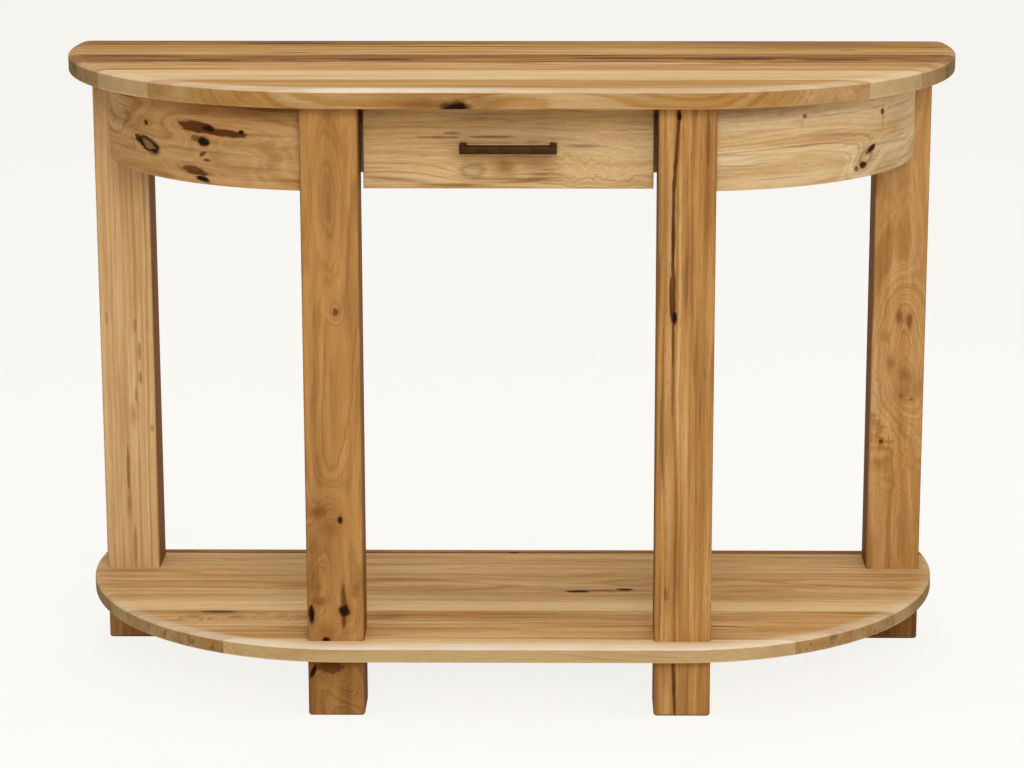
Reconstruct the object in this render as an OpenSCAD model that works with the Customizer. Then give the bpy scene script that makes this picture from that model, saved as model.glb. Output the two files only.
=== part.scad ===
// Half oval console table with a shelf and one drawer, in solid oak.
// X runs along the length, the straight back edge faces +Y, the drawer faces -Y and the feet stand on Z = 0.

/* [Table] */
// Length over the two round ends of the top
table_w = 1105; // [1000:5:1250]
// Depth from the straight back edge to the front edge
table_d = 405; // [385:5:440]
// Height of the top surface above the floor
table_h = 770; // [650:5:900]
// Radius of the two round ends of the top
end_r = 350; // [330:5:365]

/* [Top] */
// Thickness of the top
top_t = 23; // [18:1:32]
// Rounding of the top's curved edges
top_round = 4; // [1:0.5:6]
// How far the rolled upper edge runs in over the top's face
top_roll = 16; // [8:1:24]
// Rounding of the straight back edges of the top and the shelf
back_round = 1.5; // [0.5:0.5:3]

/* [Shelf] */
// How far the shelf's outline lies inside the top's
shelf_inset = 12; // [4:1:18]
// Thickness of the shelf
shelf_t = 20; // [16:1:28]
// Rounding of the shelf's curved edges
shelf_round = 3.5; // [1:0.5:6]
// How far the rolled upper edge runs in over the shelf's face
shelf_roll = 10; // [8:1:16]
// Height of the feet under the shelf
foot_h = 75; // [50:5:120]

/* [Legs] */
// Width of a leg across the front
leg_w = 68; // [60:1:76]
// Depth of a leg from front to back
leg_d = 60; // [54:1:70]
// Rounding of a leg's upright edges
leg_round = 3; // [1:0.5:5]
// From the top's front edge to the faces of the front legs
leg_front_inset = 35; // [28:1:40]
// From the top's back edge to the backs of the back legs
leg_back_inset = 20; // [10:1:26]
// From the top's round end to the outer face of a back leg
leg_end_inset = 28; // [24:1:40]
// Bevel round the sole of a foot
foot_bevel = 3; // [1:0.5:5]

/* [Aprons and back rail] */
// Height of the curved aprons and of the back rail
apron_h = 104; // [96:1:130]
// Thickness of a curved apron
apron_t = 22; // [18:1:26]
// From the top's edge to the outside of a curved apron
apron_inset = 48; // [44:1:54]
// Thickness of the back rail
rail_t = 20; // [16:1:24]
// From the backs of the back legs to the back of the rail
rail_inset = 4; // [3:0.5:8]

/* [Drawer] */
// Width of the drawer, across its front and over its sides
drawer_w = 340; // [300:5:360]
// Gap between the drawer front and each front leg
drawer_gap = 4.4; // [3:0.2:8]
// Gap between the drawer front and the underside of the top
drawer_top_gap = 3; // [2:0.5:5]
// From the faces of the front legs back to the drawer front
drawer_set_back = 30; // [20:1:34]
// Thickness of the drawer front
front_t = 20; // [18:1:24]
// Thickness of the drawer sides
side_t = 12; // [10:1:15]
// Height of the drawer sides
side_h = 69; // [58:1:70]
// Thickness of the drawer back
back_t = 12; // [10:1:15]
// Thickness of the drawer's bottom panel
panel_t = 6; // [4:0.5:8]
// Height of the panel's groove above the lower edge of the sides
panel_lift = 6; // [4:0.5:9]
// Depth of the panel's groove
groove_d = 5; // [3:0.5:6]

/* [Dovetails] */
// Tails at each corner of the drawer
tail_count = 3; // [2:1:4]
// Length of the half-blind tails at the front
tail_l = 13; // [10:1:15]
// Narrow width of the pins between two tails
pin_w = 4; // [3:0.5:6]
// Flare of a tail on each side, as a share of its length
tail_flare_share = 0.14; // [0.08:0.01:0.2]

/* [Drawer runners] */
// From the lower edge of the aprons up to the underside of the runners
runner_lift = 14; // [10:1:18]
// Thickness of the ledge that carries a drawer side
ledge_t = 10; // [8:1:12]
// Thickness of the upright guide beside a drawer side
guide_t = 20; // [16:1:26]
// Height of the guide over the underside of the runner
guide_h = 70; // [50:1:80]
// Thickness of the strip above a drawer side that stops the drawer from tipping
kicker_t = 8; // [6:0.5:8]
// Width of that strip
kicker_w = 20; // [14:1:28]
// Length of the stop block between the drawer and the back rail
stop_l = 8.7; // [6:0.1:60]
// Height of the stop block
stop_h = 25; // [15:1:40]

/* [Handle] */
// Distance between the handle's two posts
post_spread = 104; // [80:1:140]
// Diameter of the handle's rod
rod_d = 9.6; // [9:0.2:12]
// Radius of the bend at each end of the rod, on its centre line
bend_r = 6.5; // [6:0.5:10]
// From the drawer front to the outside of the rod
handle_reach = 28; // [26:1:34]

/* [Fixings] */
// Diameter of the studs that hold leg, shelf and foot together
stud_d = 8; // [6:0.5:10]
// Depth of a stud in the leg and in the foot
stud_in = 40; // [30:1:45]
// Diameter of the wooden dowels
dowel_d = 8; // [6:0.5:9]
// Depth of a dowel in each piece
dowel_in = 15; // [12:1:20]
// Depth of a dowel in the top
dowel_in_top = 12; // [8:1:14]
// From a leg's middle to each of its two dowels
dowel_spread = 18; // [15:1:20]
// Diameter of a wood screw's shank
screw_d = 4; // [3:0.5:5]
// Length of a wood screw under its head
screw_l = 16; // [12:1:17]
// Diameter of a screw head
screw_head_d = 8; // [7:0.5:9]
// Height of a screw head
screw_head_h = 2.4; // [1.5:0.1:3]
// Length of both arms of the steel brackets under the top
bracket_l = 25; // [20:1:30]
// Width of the brackets
bracket_w = 18; // [14:1:24]
// Thickness of the brackets
bracket_t = 2; // [1.5:0.5:3]

/* [Hidden] */
$fn = 96;

// Clearances, and the overrun of every cut
fit_gap = 0.1;
slide_gap = 0.8;
lift_gap = 0.3;
stop_gap = 0.3;
panel_gap = 0.2;
over = 1;

// Colours
oak = "#c69a60";
oak_gold = "#bd8d50";
oak_pale = "#d3ab74";
oak_dark = "#a97b45";
pale_wood = "#dcc39a";
bronze = "#402b1b";
steel = "#b9babb";

// The plan: edges of the top and centres of its round ends
front_y = -table_d / 2;
back_y = table_d / 2;
end_x = table_w / 2 - end_r;
end_y = front_y + end_r;
roll_steps = 12;

// Heights
under_top = table_h - top_t;
shelf_top = foot_h + shelf_t;
apron_z = under_top - apron_h;

// Leg centres, on the +X side
front_leg_x = drawer_w / 2 + drawer_gap + leg_w / 2;
front_leg_y = front_y + leg_front_inset + leg_d / 2;
back_leg_x = table_w / 2 - leg_end_inset - leg_w / 2;
back_leg_y = back_y - leg_back_inset - leg_d / 2;
LEG_XY = [[front_leg_x, front_leg_y], [back_leg_x, back_leg_y]];

// Apron and rail
apron_r = end_r - apron_inset;
apron_mid_r = apron_r - apron_t / 2;
apron_start_x = front_leg_x + leg_w / 2;
apron_stop_y = back_leg_y - leg_d / 2;
past_end = max(0, apron_start_x - end_x);
apron_start_mid_y = end_y - sqrt(pow(apron_mid_r, 2) - pow(past_end, 2));
apron_stop_mid_x = end_x + sqrt(pow(apron_mid_r, 2) - pow(apron_stop_y - end_y, 2));
rail_end_x = back_leg_x - leg_w / 2;
rail_back_y = back_y - leg_back_inset - rail_inset;
rail_front_y = rail_back_y - rail_t;
rail_mid_y = rail_back_y - rail_t / 2;

// Heights of the dowels in an apron or rail, as shares of its height
dowel_height_shares = [0.25, 0.68];

// Runners
runner_z = apron_z + runner_lift;
ledge_top = runner_z + ledge_t;
runner_y0 = front_leg_y + leg_d / 2;
runner_l = rail_front_y - runner_y0;
guide_x = drawer_w / 2 + slide_gap;
ledge_x = drawer_w / 2 - side_t;
runner_dowel_x = (front_leg_x - leg_w / 2 + guide_x + guide_t) / 2;
runner_dowel_z = runner_z + guide_h / 2;
kicker_x = drawer_w / 2 - kicker_w / 2;
kicker_screw_shares = [0.12, 0.88];

// Drawer
face_y = front_leg_y - leg_d / 2 + drawer_set_back;
shoulder_y = face_y + front_t;
box_back_y = rail_front_y - stop_l - stop_gap;
back_shoulder_y = box_back_y - back_t;
front_top_z = under_top - drawer_top_gap;
side_z = ledge_top + lift_gap;
side_top_z = side_z + side_h;
panel_z = side_z + panel_lift;
back_z = panel_z + panel_t + panel_gap;
inner_x = drawer_w / 2 - side_t;
front_round = 1.5;

// Handle
handle_z = (apron_z + front_top_z) / 2;
rod_r = rod_d / 2;
rod_y = face_y - handle_reach + rod_r;
post_x = post_spread / 2;
handle_screw_in = 12;

// Brackets: angles round the end of the table, and places along the back rail as shares of its half length
bracket_angles = [30, 65];
rail_bracket_shares = [0.62];
bracket_seat_r = sqrt(pow(apron_r - apron_t, 2) - pow(bracket_w / 2, 2)) - fit_gap;
bracket_hole_share = 0.6;

// Panel screws along the drawer back, as shares of the drawer's inner half width
panel_screw_shares = [-0.75, 0, 0.75];
panel_screw_l = 18;

// Shows its children as they are on the +X side, or mirrored on the -X side.
module on_side(side) {
    if (side < 0)
        mirror([1, 0, 0]) children();
    else
        children();
}

// Section of a board from start out to reach: its lower edge is rounded, and its upper edge is rolled over
// as a quarter of an oval, edge high, that runs in over the face by roll.
module board_section(start, reach, thick, edge, roll) {
    polygon(concat(
        [[start, 0]],
        [for (i = [0 : roll_steps]) let (a = 90 * i / roll_steps)
            [reach - edge + edge * sin(a), edge - edge * cos(a)]],
        [for (i = [0 : roll_steps]) let (a = 90 * i / roll_steps)
            [reach - roll + roll * cos(a), thick - edge + edge * sin(a)]],
        [[start, thick]]));
}

// Board with the table's outline: straight back, straight front, round ends.
module oval_board(inset, thick, edge, roll) {
    r = end_r - inset;
    intersection() {
        union() {
            for (side = [-1, 1])
                translate([side * end_x, end_y, 0])
                    rotate([0, 0, -90 * side])
                        rotate_extrude(angle = 180) board_section(0, r, thick, edge, roll);
            translate([end_x, end_y, 0])
                rotate([90, 0, -90])
                    linear_extrude(2 * end_x)
                        board_section(end_y - back_y - over, r, thick, edge, roll);
        }
        translate([-table_w / 2 - over, front_y - over, 0])
            rotate([90, 0, 90])
                linear_extrude(table_w + 2 * over)
                    board_section(0, table_d + over, thick, back_round, back_round);
    }
}

// Rectangle with round corners, about its middle.
module round_rect(w, d, r) {
    square([w - 2 * r, d], center = true);
    square([w, d - 2 * r], center = true);
    for (sx = [-1, 1], sy = [-1, 1])
        translate([sx * (w / 2 - r), sy * (d / 2 - r)]) circle(r = r);
}

// Rectangle whose two lower corners are bevelled, from its lower middle.
module bevelled_rect(w, h, bevel) {
    polygon([[-w / 2 + bevel, 0], [w / 2 - bevel, 0], [w / 2, bevel],
        [w / 2, h], [-w / 2, h], [-w / 2, bevel]]);
}

// Rod along X from x, at y and z. It is a fixing with no slack, or the bore for it.
module rod_x(x, y, z, l, d, slack) {
    translate([x - slack, y, z])
        rotate([0, 90, 0]) cylinder(r = d / 2 + slack, h = l + 2 * slack);
}

module rod_y(x, y, z, l, d, slack) {
    translate([x, y - slack, z])
        rotate([-90, 0, 0]) cylinder(r = d / 2 + slack, h = l + 2 * slack);
}

module rod_z(x, y, z, l, d, slack) {
    translate([x, y, z - slack])
        cylinder(r = d / 2 + slack, h = l + 2 * slack);
}

// Wood screw with a pan head: the shank runs along +Z from 0, the head lies below 0.
module screw(l) {
    cylinder(r = screw_d / 2, h = l);
    translate([0, 0, -screw_head_h]) cylinder(r = screw_head_d / 2, h = screw_head_h);
}

module screw_bore(l) {
    translate([0, 0, -over]) cylinder(r = screw_d / 2 + fit_gap, h = l + over + fit_gap);
}

// Fixings of one leg: stud and dowels through the shelf, dowels into the top.
module stud(x, y, slack) {
    rod_z(x, y, foot_h - stud_in, shelf_t + 2 * stud_in, stud_d, slack);
}

module foot_dowel_pair(x, y, slack) {
    for (side = [-1, 1])
        rod_z(x + side * dowel_spread, y, foot_h - dowel_in, shelf_t + 2 * dowel_in, dowel_d, slack);
}

module top_dowel_pair(x, y, slack) {
    for (side = [-1, 1])
        rod_z(x + side * dowel_spread, y, under_top - dowel_in, dowel_in + dowel_in_top, dowel_d, slack);
}

// Fixings of the right apron, the back rail's right end and the right runner.
module apron_dowel_set(slack) {
    for (share = dowel_height_shares) {
        z = apron_z + share * apron_h;
        rod_x(apron_start_x - dowel_in, apron_start_mid_y, z, 2 * dowel_in, dowel_d, slack);
        rod_y(apron_stop_mid_x, apron_stop_y - dowel_in, z, 2 * dowel_in, dowel_d, slack);
    }
}

module rail_dowel_set(slack) {
    for (share = dowel_height_shares)
        rod_x(rail_end_x - dowel_in, rail_mid_y, apron_z + share * apron_h, 2 * dowel_in, dowel_d, slack);
}

module runner_dowel_set(slack) {
    rod_y(runner_dowel_x, runner_y0 - dowel_in, runner_dowel_z, 2 * dowel_in, dowel_d, slack);
    rod_y(runner_dowel_x, rail_front_y - dowel_in, runner_dowel_z, dowel_in + rail_t / 2, dowel_d, slack);
}

// Places a bracket's frame: its +X arm face lies on an apron or rail, its top on the underside of the top.
module at_apron_brackets() {
    for (a = bracket_angles)
        translate([end_x + bracket_seat_r * sin(a), end_y - bracket_seat_r * cos(a), under_top])
            rotate([0, 0, a - 90]) children();
}

module at_rail_brackets() {
    for (share = rail_bracket_shares)
        translate([share * rail_end_x, rail_front_y, under_top])
            rotate([0, 0, 90]) children();
}

module at_all_brackets() {
    for (side = [-1, 1])
        on_side(side) {
            at_apron_brackets() children();
            at_rail_brackets() children();
        }
}

// The two screw places of a bracket: into the apron or rail, and up into the top.
module at_bracket_side_hole() {
    translate([-bracket_t, 0, -bracket_hole_share * bracket_l]) rotate([0, 90, 0]) children();
}

module at_bracket_top_hole() {
    translate([-bracket_hole_share * bracket_l, 0, -bracket_t]) children();
}

// Screw places under the kickers
module at_kicker_screws() {
    for (side = [-1, 1], share = kicker_screw_shares)
        on_side(side)
            translate([kicker_x, runner_y0 + share * runner_l, under_top - kicker_t]) children();
}

module top() {
    color(oak_gold)
        difference() {
            translate([0, 0, under_top]) oval_board(0, top_t, top_round, top_roll);
            for (side = [-1, 1], xy = LEG_XY)
                on_side(side) top_dowel_pair(xy.x, xy.y, fit_gap);
            at_all_brackets() at_bracket_top_hole() screw_bore(screw_l);
            at_kicker_screws() screw_bore(screw_l);
        }
}

module shelf() {
    color(oak)
        difference() {
            translate([0, 0, foot_h]) oval_board(shelf_inset, shelf_t, shelf_round, shelf_roll);
            for (side = [-1, 1], xy = LEG_XY)
                on_side(side) {
                    stud(xy.x, xy.y, fit_gap);
                    foot_dowel_pair(xy.x, xy.y, fit_gap);
                }
        }
}

// One upper leg, from the shelf to the top. Its cuts are the children.
module leg(xy) {
    difference() {
        translate([xy.x, xy.y, shelf_top])
            linear_extrude(under_top - shelf_top) round_rect(leg_w, leg_d, leg_round);
        stud(xy.x, xy.y, fit_gap);
        foot_dowel_pair(xy.x, xy.y, fit_gap);
        top_dowel_pair(xy.x, xy.y, fit_gap);
        apron_dowel_set(fit_gap);
        children();
    }
}

module front_leg(side, shade) {
    color(shade) on_side(side) leg(LEG_XY[0]) runner_dowel_set(fit_gap);
}

module back_leg(side, shade) {
    color(shade) on_side(side) leg(LEG_XY[1]) rail_dowel_set(fit_gap);
}

// One foot under the shelf, in line with its leg, bevelled round the sole.
module foot(side, xy) {
    color(oak_dark)
        on_side(side)
            difference() {
                intersection() {
                    translate([xy.x, xy.y, 0])
                        linear_extrude(foot_h) round_rect(leg_w, leg_d, leg_round);
                    translate([xy.x, xy.y + leg_d / 2 + over, 0])
                        rotate([90, 0, 0])
                            linear_extrude(leg_d + 2 * over) bevelled_rect(leg_w, foot_h, foot_bevel);
                    translate([xy.x - leg_w / 2 - over, xy.y, 0])
                        rotate([90, 0, 90])
                            linear_extrude(leg_w + 2 * over) bevelled_rect(leg_d, foot_h, foot_bevel);
                }
                stud(xy.x, xy.y, fit_gap);
                foot_dowel_pair(xy.x, xy.y, fit_gap);
            }
}

// Plan of the right apron: a ring about the end's centre, with a straight run toward the middle.
module apron_plan() {
    intersection() {
        union() {
            intersection() {
                translate([end_x, end_y])
                    difference() {
                        circle(r = apron_r);
                        circle(r = apron_r - apron_t);
                    }
                translate([end_x, front_y]) square([end_r, table_d]);
            }
            translate([0, end_y - apron_r]) square([end_x, apron_t]);
        }
        translate([apron_start_x, front_y])
            square([table_w / 2 - apron_start_x, apron_stop_y - front_y]);
    }
}

module apron(side, shade) {
    color(shade)
        on_side(side)
            difference() {
                translate([0, 0, apron_z]) linear_extrude(apron_h) apron_plan();
                apron_dowel_set(fit_gap);
                at_apron_brackets() at_bracket_side_hole() screw_bore(screw_l);
            }
}

module back_rail() {
    color(oak_dark)
        difference() {
            translate([-rail_end_x, rail_front_y, apron_z]) cube([2 * rail_end_x, rail_t, apron_h]);
            for (side = [-1, 1])
                on_side(side) {
                    rail_dowel_set(fit_gap);
                    runner_dowel_set(fit_gap);
                    at_rail_brackets() at_bracket_side_hole() screw_bore(screw_l);
                }
        }
}

// Runner: a ledge under the drawer side and a guide beside it, cut from one length of wood.
module runner(side) {
    color(oak_pale)
        on_side(side)
            difference() {
                translate([0, rail_front_y, 0])
                    rotate([90, 0, 0])
                        linear_extrude(runner_l)
                            polygon([[ledge_x, runner_z], [guide_x + guide_t, runner_z],
                                [guide_x + guide_t, runner_z + guide_h], [guide_x, runner_z + guide_h],
                                [guide_x, ledge_top], [ledge_x, ledge_top]]);
                runner_dowel_set(fit_gap);
            }
}

module kicker(side) {
    color(oak_pale)
        difference() {
            on_side(side)
                translate([kicker_x - kicker_w / 2, runner_y0, under_top - kicker_t])
                    cube([kicker_w, runner_l, kicker_t]);
            at_kicker_screws() screw_bore(screw_l);
        }
}

module drawer_stops() {
    color(oak_dark)
        for (side = [-1, 1])
            on_side(side)
                translate([ledge_x, rail_front_y - stop_l, ledge_top])
                    cube([guide_x - ledge_x, stop_l, stop_h]);
}

module leg_studs() {
    color(steel)
        for (side = [-1, 1], xy = LEG_XY)
            on_side(side) stud(xy.x, xy.y, 0);
}

module leg_dowels() {
    color(pale_wood)
        for (side = [-1, 1], xy = LEG_XY)
            on_side(side) foot_dowel_pair(xy.x, xy.y, 0);
}

module leg_top_dowels() {
    color(pale_wood)
        for (side = [-1, 1], xy = LEG_XY)
            on_side(side) top_dowel_pair(xy.x, xy.y, 0);
}

module apron_dowels() {
    color(pale_wood)
        for (side = [-1, 1])
            on_side(side) apron_dowel_set(0);
}

module rail_dowels() {
    color(pale_wood)
        for (side = [-1, 1])
            on_side(side) rail_dowel_set(0);
}

module runner_dowels() {
    color(pale_wood)
        for (side = [-1, 1])
            on_side(side) runner_dowel_set(0);
}

module kicker_screws() {
    color(steel) at_kicker_screws() screw(screw_l);
}

module bracket() {
    difference() {
        union() {
            translate([-bracket_t, -bracket_w / 2, -bracket_l]) cube([bracket_t, bracket_w, bracket_l]);
            translate([-bracket_l, -bracket_w / 2, -bracket_t]) cube([bracket_l, bracket_w, bracket_t]);
        }
        at_bracket_side_hole() screw_bore(screw_l);
        at_bracket_top_hole() screw_bore(screw_l);
    }
}

module top_brackets() {
    color(steel) at_all_brackets() bracket();
}

module bracket_screws() {
    color(steel)
        at_all_brackets() {
            at_bracket_side_hole() screw(screw_l);
            at_bracket_top_hole() screw(screw_l);
        }
}

// Profile of the dovetails at one end of a drawer side, in its own plane (depth, height).
// They widen from the shoulder at root_y to their tips at tip_y.
module tails(root_y, tip_y, z0, z1) {
    pitch = (z1 - z0) / tail_count;
    tip_half = (pitch - pin_w) / 2;
    root_half = tip_half - abs(tip_y - root_y) * tail_flare_share;
    low_half = root_y < tip_y ? root_half : tip_half;
    high_half = root_y < tip_y ? tip_half : root_half;
    low_y = min(root_y, tip_y);
    high_y = max(root_y, tip_y);
    for (i = [0 : tail_count - 1]) {
        mid = z0 + (i + 1 / 2) * pitch;
        polygon([[low_y, mid - low_half], [high_y, mid - high_half],
            [high_y, mid + high_half], [low_y, mid + low_half]]);
    }
}

module front_tails() {
    tails(shoulder_y, shoulder_y - tail_l, side_z, side_top_z);
}

module back_tails() {
    tails(back_shoulder_y, box_back_y, back_z, side_top_z);
}

// Stands a profile of (depth, height) on the right drawer side, through its thickness.
module across_side() {
    translate([inner_x, 0, 0]) rotate([90, 0, 90]) linear_extrude(side_t) children();
}

// Bottom panel, or the groove that takes it when it has slack.
module panel(slack) {
    x = inner_x + groove_d + slack - panel_gap;
    y0 = shoulder_y - groove_d + panel_gap - slack;
    translate([-x, y0, panel_z - slack])
        cube([2 * x, box_back_y + slack - y0, panel_t + 2 * slack]);
}

module drawer_side(side) {
    color(pale_wood)
        on_side(side)
            difference() {
                across_side() {
                    translate([shoulder_y, side_z]) square([back_shoulder_y - shoulder_y, side_h]);
                    translate([back_shoulder_y, side_z]) square([back_t, back_z - side_z]);
                    front_tails();
                    back_tails();
                }
                panel(panel_gap);
            }
}

module drawer_front() {
    color(oak_pale)
        difference() {
            intersection() {
                translate([-drawer_w / 2, shoulder_y, apron_z])
                    rotate([90, 0, 90])
                        linear_extrude(drawer_w)
                            front_section(front_top_z - apron_z);
                translate([drawer_w / 2, shoulder_y, apron_z])
                    rotate([0, 0, 90])
                        linear_extrude(front_top_z - apron_z)
                            front_section(drawer_w);
            }
            for (side = [-1, 1])
                on_side(side) {
                    across_side() front_tails();
                    at_handle_screw() screw_bore(front_t + handle_screw_in);
                }
            panel(panel_gap);
        }
}

// Section of the drawer front, from its back face toward -X, rounded on the face's two edges.
module front_section(h) {
    translate([-front_t + front_round, 0]) square([front_t - front_round, h]);
    translate([-front_t, front_round]) square([front_t, h - 2 * front_round]);
    for (rise = [front_round, h - front_round])
        translate([-front_t + front_round, rise]) circle(r = front_round);
}

module drawer_back() {
    color(pale_wood)
        difference() {
            translate([-drawer_w / 2, back_shoulder_y, back_z])
                cube([drawer_w, back_t, side_top_z - back_z]);
            for (side = [-1, 1])
                on_side(side) across_side() back_tails();
            at_panel_screws() screw_bore(panel_screw_l);
        }
}

module drawer_bottom() {
    color(pale_wood)
        difference() {
            panel(0);
            at_panel_screws() screw_bore(panel_screw_l);
        }
}

// Screw places: up through the panel into the drawer back, and forward through the front into a post.
module at_panel_screws() {
    for (share = panel_screw_shares)
        translate([share * inner_x, box_back_y - back_t / 2, panel_z]) children();
}

module at_handle_screw() {
    translate([post_x, shoulder_y, handle_z]) rotate([90, 0, 0]) children();
}

module bottom_screws() {
    color(steel) at_panel_screws() screw(panel_screw_l);
}

module handle_screws() {
    color(steel)
        for (side = [-1, 1])
            on_side(side) at_handle_screw() screw(front_t + handle_screw_in);
}

// Bow handle: a round rod bent back at both ends onto the drawer front.
module drawer_handle() {
    straight = post_x - bend_r;
    color(bronze)
        difference() {
            union() {
                rod_x(-straight, rod_y, handle_z, 2 * straight, rod_d, 0);
                for (side = [-1, 1])
                    on_side(side) {
                        translate([straight, rod_y + bend_r, handle_z])
                            rotate([0, 0, -90])
                                rotate_extrude(angle = 90) translate([bend_r, 0]) circle(r = rod_r);
                        rod_y(post_x, rod_y + bend_r, handle_z, face_y - rod_y - bend_r, rod_d, 0);
                    }
            }
            for (side = [-1, 1])
                on_side(side) at_handle_screw() screw_bore(front_t + handle_screw_in);
        }
}

top();
shelf();
front_leg(-1, oak_gold);  // front_left_leg
front_leg(1, oak);  // front_right_leg
back_leg(-1, oak_pale);  // back_left_leg
back_leg(1, oak_dark);  // back_right_leg
foot(-1, LEG_XY[0]);  // front_left_foot
foot(1, LEG_XY[0]);  // front_right_foot
foot(-1, LEG_XY[1]);  // back_left_foot
foot(1, LEG_XY[1]);  // back_right_foot
apron(-1, oak_gold);  // left_apron
apron(1, oak_pale);  // right_apron
back_rail();
runner(-1);  // left_runner
runner(1);  // right_runner
kicker(-1);  // left_kicker
kicker(1);  // right_kicker
drawer_stops();
leg_studs();
leg_dowels();
leg_top_dowels();
apron_dowels();
rail_dowels();
runner_dowels();
kicker_screws();
top_brackets();
bracket_screws();
drawer_front();
drawer_side(-1);  // drawer_left_side
drawer_side(1);  // drawer_right_side
drawer_back();
drawer_bottom();
drawer_handle();
handle_screws();
bottom_screws();
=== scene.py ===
import math

import bpy
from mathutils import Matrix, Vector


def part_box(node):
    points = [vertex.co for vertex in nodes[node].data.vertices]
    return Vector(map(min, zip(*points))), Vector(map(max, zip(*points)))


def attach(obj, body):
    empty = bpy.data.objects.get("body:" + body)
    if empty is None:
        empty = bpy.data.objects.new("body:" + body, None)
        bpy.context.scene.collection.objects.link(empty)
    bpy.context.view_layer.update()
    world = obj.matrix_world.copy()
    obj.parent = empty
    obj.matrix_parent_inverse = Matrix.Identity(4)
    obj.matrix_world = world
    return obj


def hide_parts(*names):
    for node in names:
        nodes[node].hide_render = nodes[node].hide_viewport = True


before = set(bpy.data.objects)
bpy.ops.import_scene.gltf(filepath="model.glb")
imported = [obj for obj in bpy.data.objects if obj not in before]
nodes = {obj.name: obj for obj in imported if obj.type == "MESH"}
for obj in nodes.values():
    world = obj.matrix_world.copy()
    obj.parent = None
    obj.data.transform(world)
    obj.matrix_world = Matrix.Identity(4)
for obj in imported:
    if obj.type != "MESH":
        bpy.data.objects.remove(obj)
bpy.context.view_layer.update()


# Top: six oak staves and a narrow dark strip at the back, glued edge to edge into a half oval 23 mm thick,
# its curved upper edge rolled over. The staves run along the table, are flat sawn and keep their knots, and
# are sealed with a satin oil. The top sits on the legs' dowels and steel angles under it hold it down.
def srgb(text):
    """An sRGB hex colour as linear red, green, blue and alpha."""
    parts = [int(text[i : i + 2], 16) / 255 for i in (1, 3, 5)]
    linear = [c / 12.92 if c <= 0.04045 else ((c + 0.055) / 1.055) ** 2.4 for c in parts]
    return (*linear, 1.0)


def add(tree, kind, settings=(), sockets=()):
    """Adds a node with its settings, and with each socket given as a value or as what feeds it. A Mix node of
    colours has its share in socket 0 and its two colours in sockets 6 and 7."""
    node = tree.nodes.new(kind)
    for key, value in dict(settings).items():
        setattr(node, key, value)
    for key, value in dict(sockets).items():
        if isinstance(value, bpy.types.Node):
            value = next(s for s in value.outputs if s.enabled)
        if isinstance(value, bpy.types.NodeSocket):
            tree.links.new(value, node.inputs[key])
        else:
            node.inputs[key].default_value = value
    return node


def add_sockets(group, in_out, kind, labels):
    """Gives a node group inputs or outputs of one kind."""
    for label in labels:
        group.interface.new_socket(name=label, in_out=in_out, socket_type="NodeSocket" + kind)


def blank_tree(owner):
    """Turns on the nodes of a material or a world, and returns its tree with nothing in it."""
    owner.use_nodes = True
    owner.node_tree.nodes.clear()
    return owner.node_tree


def dress(node_names, material):
    """Gives CAD nodes this material and no other."""
    for node_name in node_names:
        nodes[node_name].data.materials.clear()
        nodes[node_name].data.materials.append(material)


# Settings that many nodes share.
smooth = {"interpolation_type": "SMOOTHSTEP"}
plus = {"operation": "ADD"}
minus = {"operation": "SUBTRACT"}
times = {"operation": "MULTIPLY"}
times_plus = {"operation": "MULTIPLY_ADD"}

# A knot turns the rings aside round it (Push), ripples them (Burl), stains the wood near it (Halo), and has
# a brown patch, a near black core or a dark outline. Some wide stains without a knot, named where they are
# given, are painted shade. Places are millimetres: along the grain, across it, and into the board from its
# show face. Knots are chained, and each takes what the ones before it gave.
knot_group = bpy.data.node_groups.new("oak_knot", "ShaderNodeTree")
knot_kinds = ("Lift", "Ripple", "Stain_and_shade", "Brown", "Black", "Outline")
passed_on = ("Push", "Burl", "Halo", "Patch", "Core")
add_sockets(knot_group, "INPUT", "Vector", ("Place", "Centre", "Size"))
add_sockets(knot_group, "INPUT", "Float", ("Ragged", "Tilt", *knot_kinds, *passed_on))
add_sockets(knot_group, "OUTPUT", "Float", passed_on)
g = knot_group
given = add(g, "NodeGroupInput").outputs
from_centre = add(g, "ShaderNodeVectorMath", minus, {0: given["Place"], 1: given["Centre"]})
turned = add(
    g, "ShaderNodeVectorRotate", {"rotation_type": "Z_AXIS"}, {"Vector": from_centre, "Angle": given["Tilt"]}
)
shares = add(g, "ShaderNodeVectorMath", {"operation": "DIVIDE"}, {0: turned, 1: given["Size"]})
round_distance = add(g, "ShaderNodeVectorMath", {"operation": "LENGTH"}, {0: shares}).outputs["Value"]
distance = add(g, "ShaderNodeMath", plus, {0: round_distance, 1: given["Ragged"]})
# The rings are turned aside over twice the knot's length, and less across it.
turned_reach = (0.42, 0.62, 0.5)
long_shares = add(g, "ShaderNodeVectorMath", times, {0: shares, 1: turned_reach})
reach = add(g, "ShaderNodeVectorMath", {"operation": "DOT_PRODUCT"}, {0: long_shares, 1: long_shares})
fade = add(g, "ShaderNodeMath", times, {0: reach.outputs["Value"], 1: -1.0})
swell = add(g, "ShaderNodeMath", {"operation": "EXPONENT"}, {0: fade})
push = add(g, "ShaderNodeMath", times_plus, {0: swell, 1: given["Lift"], 2: given["Push"]})
burl = add(g, "ShaderNodeMath", times_plus, {0: swell, 1: given["Ripple"], 2: given["Burl"]})
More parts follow.
